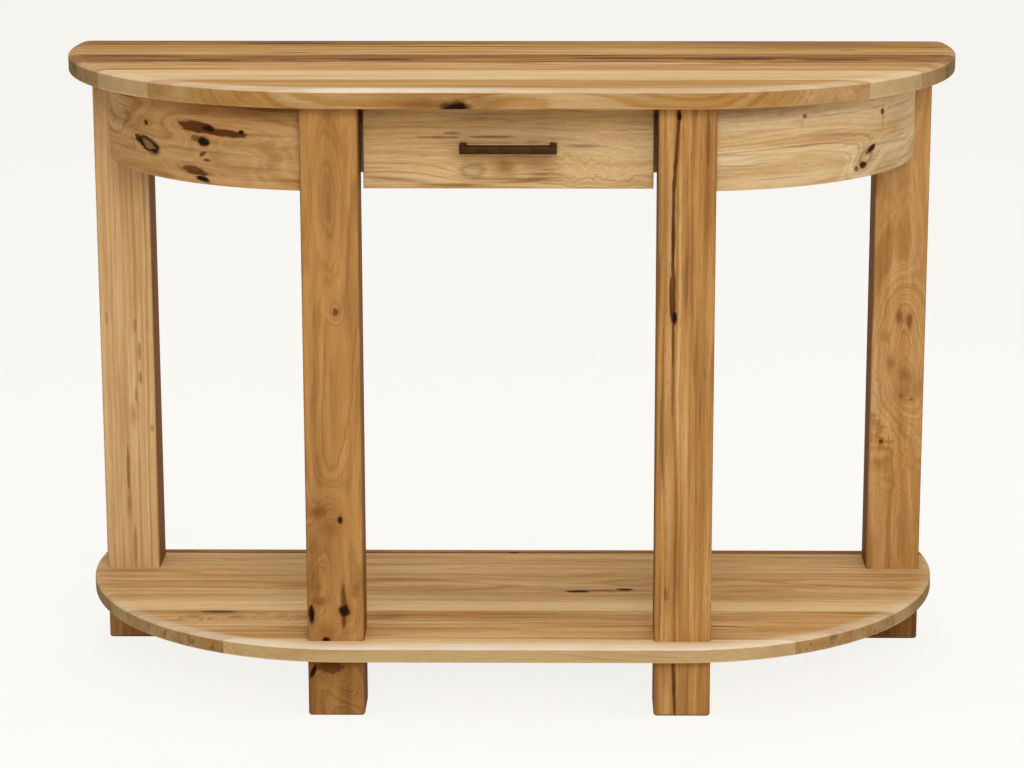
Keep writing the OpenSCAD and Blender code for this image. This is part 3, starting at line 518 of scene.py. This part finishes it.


# Legs and feet: solid oak blocks, 68 by 60 mm, the grain upright, with eased arrises. Each foot is cut from
# the same length as the leg above it, so its grain goes on below the shelf. Each foot is tinted darker than
# its
# leg: partly its own tone, partly painted shade below the shelf.
# Dowels and a threaded stud join the two through the shelf, and two dowels hold the top.
leg_looks = {
    "front_left": {
        "tree": (-206.0, 78.0), "seed": 21.0, "tone": 0.6, "ring": 3.9, "wave": 30.0, "streaks": 0.15,
        "knots": (
            {"at": (635, -207), "size": (36, 11), "lift": 12, "stain_and_shade": 0.2},
            {"at": (501, -203), "size": (5, 4), "brown": 0.7, "stain_and_shade": 0.9, "lift": 8},
            {"at": (510, -197), "size": (22, 9), "stain_and_shade": 0.4},
            {"at": (491, -225), "size": (18, 5), "stain_and_shade": 0.45},
            {"at": (257, -226), "size": (8, 9), "stain_and_shade": 1.0, "brown": 0.22},
            {"at": (236, -214), "size": (9, 10), "stain_and_shade": 0.8, "lift": 6},
            {"at": (212, -234), "size": (12, 7), "stain_and_shade": 0.75},
            {"at": (247, -201), "size": (5, 3.6), "black": 0.8, "brown": 1.0, "stain_and_shade": 1.0, "lift": 9},
            {"at": (205, -217), "size": (34, 12), "lift": 24, "stain_and_shade": 0.22, "tilt": -8},
            {"at": (180, -210), "size": (44, 22), "ripple": 0.1},
            {"at": (158, -226), "size": (20, 14), "lift": 20},
            {"at": (146, -229), "size": (6, 10), "stain_and_shade": 0.9, "brown": 0.18},
            {"at": (161, -184), "size": (12, 5), "stain_and_shade": 0.8, "tilt": -30},
            {"at": (133, -197.4), "size": (9, 7), "black": 1.0, "brown": 1.0, "stain_and_shade": 1.0, "lift": 10},
            {"at": (138, -198), "size": (30, 3.6), "stain_and_shade": 1.0, "brown": 0.75},
            {"at": (129, -237), "size": (13, 4), "black": 1.0, "brown": 0.8, "stain_and_shade": 0.8, "lift": 8},
            {"at": (96, -220), "size": (5, 5), "black": 1.0, "brown": 1.0, "stain_and_shade": 1.0, "lift": 8},
            {"at": (105, -219), "size": (12, 9), "stain_and_shade": 0.8},
            {"at": (172, -234), "size": (20, 8), "stain_and_shade": 0.85},
            {"at": (118, -212), "size": (20, 18), "ripple": 0.22},
        ),
        "foot_tone_and_shade": 0.82,
        "foot_knots": (
            {"at": (62, -215), "size": (8, 16), "brown": 0.85, "stain_and_shade": 1.0, "lift": 10},
            {"at": (70, -212), "size": (12, 34), "stain_and_shade": 0.75},
            {"at": (57, -236), "size": (11, 3.4), "black": 1.0, "brown": 1.0, "tilt": -18},
            {"at": (44, -198), "size": (14, 10), "lift": 20, "tilt": 30},
            {"at": (40, -212), "size": (18, 20), "ripple": 0.2},
            {"at": (30, -236), "size": (26, 5), "stain_and_shade": 0.5},
        ),
    },
    "front_right": {
        "tree": (120.0, 70.0), "seed": 33.0, "tone": 0.52, "ring": 7.0, "wave": 12.0, "streaks": 0.5,
        "knots": (
            {"at": (734, 198), "size": (7, 3), "black": 1.0, "brown": 1.0},
            {"at": (690, 195.4), "size": (64, 2.2), "brown": 1.0, "stain_and_shade": 0.5, "tilt": -3.2},
            {"at": (590, 192.6), "size": (96, 2.1), "brown": 1.0, "stain_and_shade": 0.6},
            {"at": (520, 192.6), "size": (34, 4.0), "brown": 1.0, "stain_and_shade": 0.8},
            {"at": (495, 195), "size": (10, 3.4), "black": 1.0, "brown": 0.8, "stain_and_shade": 0.8},
            {"at": (468, 193.5), "size": (34, 1.8), "brown": 0.8},
            {"at": (415, 193.5), "size": (50, 1.8), "brown": 0.4},
            {"at": (706, 232), "size": (30, 2.6), "brown": 0.4, "stain_and_shade": 0.4},
            {"at": (645, 232), "size": (55, 4), "stain_and_shade": 0.5},
            {"at": (430, 224), "size": (45, 3.4), "stain_and_shade": 0.5},
            {"at": (350, 186), "size": (45, 5), "stain_and_shade": 0.5},
            {"at": (190, 198), "size": (60, 7), "stain_and_shade": 0.5},
            {"at": (154, 188), "size": (9, 2.2), "brown": 0.5},
        ),
        "foot_tone_and_shade": 0.6,
        "foot_knots": (
            {"at": (40, 198.5), "size": (46, 2.2), "stain_and_shade": 0.8, "brown": 0.85, "tilt": 3},
            {"at": (60, 186), "size": (20, 5), "stain_and_shade": 0.5},
        ),
    },
    "back_left": {
        "tree": (-400.0, 60.0), "seed": 47.0, "tone": 0.21, "ring": 6.0, "wave": 10.0, "streaks": 0.12,
        "knots": (
            {"at": (417, -480), "size": (10, 2.5), "brown": 0.4},
            {"at": (383, -475), "size": (12, 2.3), "brown": 0.4},
            {"at": (349, -475), "size": (9, 2.3), "brown": 0.45},
            {"at": (325, -481), "size": (9, 2.2), "brown": 0.4},
            {"at": (300, -485), "size": (11, 2.5), "stain_and_shade": 0.6},
            {"at": (227, -494), "size": (30, 2.3), "brown": 0.5},
            {"at": (182, -494), "size": (15, 3), "stain_and_shade": 0.6},
            {"at": (124, -488), "size": (28, 2.3), "brown": 0.35},
            {"at": (426, -516), "size": (9, 2.2), "brown": 0.3},
            {"at": (281, -462), "size": (5, 2.4), "brown": 0.35},
        ),
        "foot_tone_and_shade": 0.5,
        "foot_knots": (),
    },
    "back_right": {
        "tree": (480.0, 80.0), "seed": 58.0, "tone": 0.46, "ring": 5.0, "wave": 30.0, "streaks": 0.15,
        "knots": (
            {"at": (430, 491), "size": (8, 3.6), "stain_and_shade": 1.0, "brown": 0.3},
            {"at": (425, 504), "size": (9, 4.2), "stain_and_shade": 1.0, "brown": 0.4},
            {"at": (428, 497), "size": (16, 13), "lift": 26},
            {"at": (404, 473), "size": (5, 5), "stain_and_shade": 0.6, "lift": 10},
            {"at": (369, 482), "size": (7, 5), "stain_and_shade": 0.8, "lift": 9},
            {"at": (356, 500), "size": (21, 17), "lift": 44},
            {"at": (353, 501), "size": (10, 7), "stain_and_shade": 0.9, "tilt": 35},
            {"at": (333, 506), "size": (9, 20), "stain_and_shade": 0.5, "tilt": 20},
            {"at": (326, 496), "size": (3, 3), "stain_and_shade": 1.0},
            {"at": (322, 509), "size": (3, 3), "stain_and_shade": 1.0},
            {"at": (266, 472), "size": (3.4, 2.8), "brown": 0.9},
            {"at": (310, 490), "size": (46, 26), "ripple": 0.36},
        ),
        "foot_tone_and_shade": 0.88,
        "foot_knots": (),
    },
}
front_faces = {"front": -167.5, "back": 122.5}
# Painted shade on the legs' sides, deeper on the back legs.
side_shade_tints = {"front": "#C8B292", "back": "#A88A60"}
for corner, look in leg_looks.items():
    row = corner.split("_")[0]
    for part, tone, knots in [
        ("leg", look["tone"], look["knots"]), ("foot", look["foot_tone_and_shade"], look["foot_knots"])
    ]:
        leg_oak = oak(
            "oak_" + corner + "_" + part + "_satin_oil", order="zxy", face=(front_faces[row], 1),
            tree=look["tree"], seed=look["seed"], tone=tone, ring=look["ring"], wave=look["wave"],
            streaks=look["streaks"], knots=knots, rim_shade_tint=side_shade_tints[row],
        )
        dress([corner + "_" + part], leg_oak)


# Curved aprons: oak bent and glued to the top's round ends, 22 mm thick, between a front leg and a back leg
# on dowels. The left one is a golden, knotty board, and the right one is paler.
apron_looks = {
    "left_apron": {
        "side": -1, "tree": (700.0, 60.0), "seed": 71.0, "tone": 0.38, "wave": 40.0,
        "colours": ("#D9B380", "#B78A55", "#794A22"),
        "knots": (
            {"at": (266, 706), "size": (5, 3), "brown": 1.0, "black": 0.6, "stain_and_shade": 0.8, "lift": 8},
            {"at": (263, 680), "size": (20, 7), "tilt": -12, "outline": 1.0, "stain_and_shade": 1.0, "lift": 14},
            {"at": (284, 684), "size": (11, 4.4), "tilt": -14, "brown": 0.95, "stain_and_shade": 0.8},
            {"at": (174, 710.5), "size": (32, 6.8), "brown": 1.0, "stain_and_shade": 0.9, "lift": 10, "tilt": -3},
            {"at": (136, 706.5), "size": (32, 4.8), "brown": 1.0, "stain_and_shade": 0.8, "lift": 8, "tilt": -2},
            {"at": (157, 710), "size": (13, 4.2), "black": 1.0, "tilt": -6},
            {"at": (113, 709), "size": (5, 3.4), "black": 1.0},
            {"at": (165, 694), "size": (9, 7), "black": 1.0, "brown": 1.0, "stain_and_shade": 1.0, "lift": 10},
            {"at": (177, 697), "size": (8, 4), "brown": 0.7},
            {"at": (167, 679), "size": (6, 2.6), "brown": 0.85, "stain_and_shade": 0.7, "tilt": 30},
            {"at": (161, 672), "size": (5, 2.2), "brown": 0.85, "stain_and_shade": 0.6},
            {"at": (180, 658), "size": (20, 5), "brown": 0.95, "stain_and_shade": 0.9, "lift": 12, "tilt": -6},
            {"at": (168, 649), "size": (11, 3.6), "black": 1.0, "brown": 0.9, "stain_and_shade": 0.9, "tilt": -8},
            {"at": (108, 680), "size": (44, 17), "outline": 0.16, "lift": 14, "tilt": 6},
            # Painted shade: this wide stain along the apron's upper edge stands for the shade under the top.
            {"at": (96, 737), "size": (90, 14), "stain_and_shade": 1.0},
            {"at": (52, 739), "size": (62, 5), "brown": 0.5},
            {"at": (140, 741.5), "size": (34, 4), "brown": 0.45},
            {"at": (20, 722), "size": (34, 3), "stain_and_shade": 0.9, "brown": 0.3, "tilt": -12},
            {"at": (190, 690), "size": (80, 34), "stain_and_shade": 0.2, "lift": 26},
            {"at": (285, 690), "size": (60, 60), "stain_and_shade": 0.25},
        ),
    },
    "right_apron": {
        "side": 1, "tree": (640.0, 60.0), "seed": 83.0, "tone": 0.3, "wave": 46.0,
        "colours": ("#DFC8A2", "#BF9B6A", "#815A31"),
        "knots": (
            {"at": (285, 718), "size": (4, 3.8), "brown": 0.8, "black": 0.5, "stain_and_shade": 0.8, "lift": 8},
            {"at": (287, 712), "size": (2.6, 14), "stain_and_shade": 0.7},
            {"at": (151, 726), "size": (3.4, 2.8), "brown": 0.6, "stain_and_shade": 0.8, "lift": 7},
            {"at": (147, 719), "size": (4, 6), "stain_and_shade": 0.5},
            {
                "at": (262, 676), "size": (12, 4), "black": 0.9, "brown": 0.8, "stain_and_shade": 0.7, "tilt": -25,
                "lift": 8,
            },
            {"at": (252, 666), "size": (12, 9), "outline": 0.4, "tilt": -25, "lift": 16},
            {"at": (246, 658), "size": (8, 4.4), "black": 0.9, "brown": 0.9, "stain_and_shade": 0.8, "lift": 6},
            {"at": (234, 655), "size": (4.5, 3.4), "brown": 0.9, "stain_and_shade": 0.6},
            {"at": (318, 700), "size": (26, 18), "stain_and_shade": 0.3},
            {"at": (250, 690), "size": (30, 16), "ripple": 0.15},
            # Painted shade: this wide stain along the apron's upper edge stands for the shade under the top.
            {"at": (74, 740), "size": (120, 16), "stain_and_shade": 0.85},
            {"at": (196, 700), "size": (40, 3), "stain_and_shade": 0.5},
            {"at": (305, 690), "size": (60, 60), "stain_and_shade": 0.2},
        ),
    },
}
apron_inset = 48.0
for node_name, look in apron_looks.items():
    apron_oak = oak(
        "oak_bent_" + node_name, order="xzy", face=(0.0, 1), tree=look["tree"], seed=look["seed"],
        tone=look["tone"], ring=5.0, wave=look["wave"], streaks=0.35, knots=look["knots"],
        bend=(look["side"], look["side"] * end_x, end_y, end_r - apron_inset), colours=look["colours"],
    )
    dress([node_name], apron_oak)


# Back rail: a plain oak board on edge between the back legs, dowelled to them. Nobody sees its outer face
# against a wall, so it is the plainest of the boards.
rail_oak = oak(
    "oak_back_rail_satin_oil", order="xzy", face=(158.5, 1), tree=(600.0, 70.0), seed=97.0, tone=0.5,
    ring=6.0, wave=40.0,
)
dress(["back_rail"], rail_oak)


# Drawer front: one short oak board, pale and wavy, with a small ring knot at its lower edge and a curly
# patch at its right end. The drawer's sides are dovetailed into its ends.
front_knots_and_shade = (
    {"at": (-42, 664.5), "size": (14, 7.5), "lift": 9, "stain_and_shade": 0.35, "outline": 0.3},
    # These stains below the handle are partly brown blotches in the wood and partly a painted shadow of the
    # handle.
    {"at": (-3, 668), "size": (13, 9), "stain_and_shade": 0.95, "lift": 6},
    {"at": (30, 675), "size": (24, 10), "stain_and_shade": 0.75},
    {"at": (38, 660), "size": (14, 2), "stain_and_shade": 0.9},
    {"at": (44, 666), "size": (12, 1.6), "stain_and_shade": 0.9},
    {"at": (30, 654), "size": (24, 2.2), "stain_and_shade": 1.0, "tilt": -6},
    {"at": (-140, 655), "size": (34, 2), "stain_and_shade": 0.9, "tilt": 4},
    {"at": (-60, 647), "size": (30, 2), "stain_and_shade": 1.0},
    {"at": (-82, 704), "size": (30, 1.8), "stain_and_shade": 1.0, "brown": 0.4},
    {"at": (-20, 704.5), "size": (30, 1.8), "stain_and_shade": 1.0, "brown": 0.45},
    {"at": (-66, 709), "size": (12, 2), "stain_and_shade": 1.0, "brown": 0.3},
    {"at": (30, 699), "size": (14, 2.4), "stain_and_shade": 0.9},
    {"at": (88, 694), "size": (26, 2.2), "stain_and_shade": 0.95},
    {"at": (110, 678), "size": (30, 26), "ripple": 0.55},
    # Painted shadow: a wide stain over the upper part of the front, where the top's overhang shades it.
    {"at": (-10, 712), "size": (230, 20), "stain_and_shade": 0.58},
)
front_oak = oak(
    "oak_drawer_front_satin_oil", order="xzy", face=(-137.5, 1), tree=(604.0, 46.0), seed=105.0, tone=0.34,
    ring=5.0, wave=38.0, streaks=0.45, knots=front_knots_and_shade, colours=("#DDC194", "#C19B66", "#8A6238"),
)
dress(["drawer_front"], front_oak)


# Drawer box, runners and stops: plain pale hardwood, planed and left unfinished where it slides. The box's
# sides are dovetailed front and back, and the runners are dowelled to the legs and the rail.
for node_names, order, face, seed in [
    (("drawer_left_side", "left_runner", "left_kicker"), "yzx", (-170.0, 1), 121.0),
    (("drawer_right_side", "right_runner", "right_kicker"), "yzx", (170.0, -1), 127.0),
    (("drawer_back", "drawer_stops"), "xzy", (149.5, -1), 133.0),
]:
    pale_wood = oak(
        "planed_pale_hardwood_" + node_names[0], order=order, face=face, tree=(690.0, 160.0), seed=seed,
        tone=0.35, ring=3.5, wave=24.0, streaks=0.0, colours=("#EAD7B2", "#DDC297", "#BC9A6A"),
    )
    dress(node_names, pale_wood)


# Drawer bottom: a birch plywood panel 6 mm thick, held in grooves and screwed up into the back. Its face
# veneer is smooth and pale, with a soft grain that runs across the drawer.
ply = oak(
    "birch_plywood_panel", order="xyz", face=(679.3, -1), tree=(0.0, 260.0), seed=141.0, tone=0.3, ring=5.5,
    wave=60.0, streaks=0.0, colours=("#EFDDBB", "#E3CB9F", "#CDAE7C"),
)
dress(["drawer_bottom"], ply)


# Dowels: plain beech pins, glued into bores in both boards of a joint, at the legs, shelf, feet, aprons,
# rail and runners. They would be seen only where a joint is open.
beech = oak(
    "beech_dowel", order="zxy", face=(-600.0, 1), tree=(0.0, 90.0), seed=151.0, tone=0.4, ring=3.0, wave=10.0,
    streaks=0.0, colours=("#E3C199", "#D3A878", "#B5854F"),
)
dress(["leg_dowels", "leg_top_dowels", "apron_dowels", "rail_dowels", "runner_dowels"], beech)


# Handle: a square steel bar with a post at each end, bent and ground square, in a dark bronze finish that
# is a little browner where it is rubbed. Two screws from inside the drawer hold it. Sizes are in metres.
post_width = 0.0086
bar_depth = 0.0086
edge_round = 0.0011
pull_low, pull_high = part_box("drawer_handle")
bpy.ops.object.select_all(action="DESELECT")
bpy.ops.mesh.primitive_cube_add(
    size=1,
    location=(0, pull_low[1] + bar_depth / 2, (pull_low[2] + pull_high[2]) / 2),
    scale=(pull_high[0] - pull_low[0], bar_depth, pull_high[2] - pull_low[2]),
)
pull = bpy.context.active_object
pull.name = "square_bar_pull"
bpy.ops.object.transform_apply(location=True, rotation=True, scale=True)
bpy.ops.object.mode_set(mode="EDIT")
bpy.ops.mesh.select_mode(type="FACE")
for cut_x in (pull_low[0] + post_width, pull_high[0] - post_width):
    bpy.ops.mesh.select_all(action="SELECT")
    bpy.ops.mesh.bisect(plane_co=(cut_x, 0, 0), plane_no=(1, 0, 0))
bpy.ops.mesh.select_all(action="DESELECT")
bpy.ops.object.mode_set(mode="OBJECT")
for face in pull.data.polygons:
    face.select = face.normal.y > 0.9 and abs(face.center.x) > pull_high[0] - post_width
bpy.ops.object.mode_set(mode="EDIT")
bpy.ops.mesh.extrude_region_move(
    TRANSFORM_OT_translate={"value": (0, pull_high[1] - pull_low[1] - bar_depth, 0)}
)
bpy.ops.object.mode_set(mode="OBJECT")
eased = pull.modifiers.new("eased_edges", "BEVEL")
eased.width = edge_round
eased.segments = 3
eased.limit_method = "ANGLE"
bpy.ops.object.modifier_apply(modifier=eased.name)
bpy.ops.object.shade_smooth_by_angle(angle=math.radians(40))
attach(pull, "drawer")
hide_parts("drawer_handle")

# The mottle of the finish is about 11 mm wide, which gives a soft brown cloudiness and no speckle.
bronze = bpy.data.materials.new("dark_bronze_on_steel")
t = blank_tree(bronze)
coordinates = add(t, "ShaderNodeTexCoord").outputs
mottle = add(t, "ShaderNodeTexNoise", (), {"Vector": coordinates["Object"], "Scale": 90.0, "Detail": 2.0})
cloud = add(t, "ShaderNodeMapRange", smooth, {"Value": mottle, "From Min": 0.35, "From Max": 0.7})
bronze_colour = add(
    t, "ShaderNodeMix", {"data_type": "RGBA"}, {0: cloud, 6: srgb("#3B2614"), 7: srgb("#46301C")}
)
bronze_rough = add(t, "ShaderNodeMath", times_plus, {0: mottle, 1: 0.16, 2: 0.5})
bump = add(t, "ShaderNodeBump", (), {"Strength": 0.05, "Distance": 0.0001, "Height": mottle})
shader = add(
    t, "ShaderNodeBsdfPrincipled", (),
    {"Base Color": bronze_colour, "Metallic": 1.0, "Roughness": bronze_rough, "Normal": bump},
)
add(t, "ShaderNodeOutputMaterial", (), {"Surface": shader})
pull.data.materials.append(bronze)


# Studs, brackets and screws: zinc plated steel, stamped or turned. The studs clamp leg, shelf and foot, and
# the screws hold the brackets, kickers, handle and drawer bottom. The plating gives a grey brightness, broken
# into spangles about 3 mm wide.
zinc = bpy.data.materials.new("zinc_plated_steel")
t = blank_tree(zinc)
coordinates = add(t, "ShaderNodeTexCoord").outputs
cells = add(t, "ShaderNodeTexVoronoi", (), {"Vector": coordinates["Object"], "Scale": 320.0})
spangle = cells.outputs["Distance"]
plating = add(t, "ShaderNodeMix", {"data_type": "RGBA"}, {0: spangle, 6: srgb("#C6C7C6"), 7: srgb("#A9ABAC")})
plate_rough = add(t, "ShaderNodeMath", times_plus, {0: spangle, 1: 0.15, 2: 0.3})
shader = add(
    t, "ShaderNodeBsdfPrincipled", (), {"Base Color": plating, "Metallic": 1.0, "Roughness": plate_rough}
)
add(t, "ShaderNodeOutputMaterial", (), {"Surface": shader})
dress(["leg_studs", "top_brackets"], zinc)
dress(["bracket_screws", "kicker_screws", "handle_screws", "bottom_screws"], zinc)


# Floor: a plain pale studio sweep. The camera and reflections see its off-white with only the table's soft
# shadow on it, and from below it is see-through, so that the underside can be looked at.
def looked_at(tree):
    """Is 1 for a ray that the camera or a shiny surface sends out, and 0 for one that only lights."""
    ray = add(tree, "ShaderNodeLightPath").outputs
    seen = add(
        tree, "ShaderNodeMath", {"operation": "MAXIMUM"}, {0: ray["Is Camera Ray"], 1: ray["Is Glossy Ray"]}
    )
    return add(tree, "ShaderNodeMath", {"operation": "MAXIMUM"}, {0: seen, 1: ray["Is Transmission Ray"]})


floor_size = 60
floor_glow = 0.86
bpy.ops.object.select_all(action="DESELECT")
bpy.ops.mesh.primitive_plane_add(size=floor_size, location=(0, 0, 0))
floor = bpy.context.active_object
floor.name = "studio_floor"
floor_paper = bpy.data.materials.new("off_white_studio_paper")
t = blank_tree(floor_paper)
glow_share = add(t, "ShaderNodeMath", times, {0: looked_at(t), 1: floor_glow})
paper = add(t, "ShaderNodeBsdfDiffuse", (), {"Color": srgb("#F3F0E8")})
glow = add(t, "ShaderNodeEmission", (), {"Color": srgb("#FFFEFA"), "Strength": 1.0})
lit = add(t, "ShaderNodeMixShader", (), {0: glow_share, 1: paper, 2: glow})
clear = add(t, "ShaderNodeBsdfTransparent")
under = add(t, "ShaderNodeNewGeometry").outputs["Backfacing"]
sheet = add(t, "ShaderNodeMixShader", (), {0: under, 1: lit, 2: clear})
add(t, "ShaderNodeOutputMaterial", (), {"Surface": sheet})
floor.data.materials.append(floor_paper)


# Studio light: a pale room all round and five soft boxes on stands. The largest is in front and above, one
# is overhead, one at each side, the right one stronger, and one behind lights the back. Sizes are in metres
# and powers in watts.
world = bpy.data.worlds.new("pale_room")
bpy.context.scene.world = world
t = blank_tree(world)
room = add(t, "ShaderNodeBackground", (), {"Color": srgb("#FFFCF6"), "Strength": 0.36})
backdrop = add(t, "ShaderNodeBackground", (), {"Color": srgb("#FDFBF7"), "Strength": 1.0})
both = add(t, "ShaderNodeMixShader", (), {0: looked_at(t), 1: room, 2: backdrop})
add(t, "ShaderNodeOutputWorld", (), {"Surface": both})
for name, place, aim, size, power in [
    ("front_soft_box", (0.3, -3.7, 2.1), (0.0, 0.0, 0.45), (2.2, 1.0), 73.5),
    ("overhead_soft_box", (0.0, -0.8, 3.2), (0.0, 0.0, 0.4), (2.6, 1.8), 28.5),
    ("right_fill", (3.2, -1.4, 1.3), (0.0, 0.0, 0.4), (1.8, 1.6), 24.0),
    ("left_fill", (-3.2, -1.4, 1.3), (0.0, 0.0, 0.4), (1.8, 1.6), 10.0),
    ("rear_fill", (0.0, 2.4, 3.3), (0.0, 0.0, 0.45), (2.4, 1.2), 26.0),
]:
    bpy.ops.object.select_all(action="DESELECT")
    bpy.ops.object.light_add(type="AREA", location=place)
    lamp = bpy.context.active_object
    lamp.name = name
    lamp.data.shape = "RECTANGLE"
    lamp.data.size, lamp.data.size_y = size
    lamp.data.energy = power
    to_x, to_y, to_z = (end - start for end, start in zip(aim, place))
    raised = math.atan2(math.hypot(to_x, to_y), -to_z)
    lamp.rotation_euler = (raised, 0.0, math.atan2(to_y, to_x) - math.pi / 2)


# Camera: at the photograph's place, 3.7 m in front of the table's middle and 1.3 m up, looking down at it a
# little through a 109 mm lens. Place, turn and lens were fitted to the outline in the photograph.
look_down = 0.2289
look_left = 0.007
bpy.ops.object.select_all(action="DESELECT")
bpy.ops.object.camera_add(
    location=(0.0613, -3.7033, 1.3128), rotation=(math.pi / 2 - look_down, 0.0, look_left)
)
camera = bpy.context.active_object
camera.name = "photo_camera"
camera.data.sensor_width = 36.0
camera.data.lens = 108.73
camera.data.shift_x = -0.0268
camera.data.shift_y = -0.06
camera.data.clip_end = 100.0
bpy.context.scene.camera = camera
bpy.context.scene.view_settings.view_transform = "Standard"
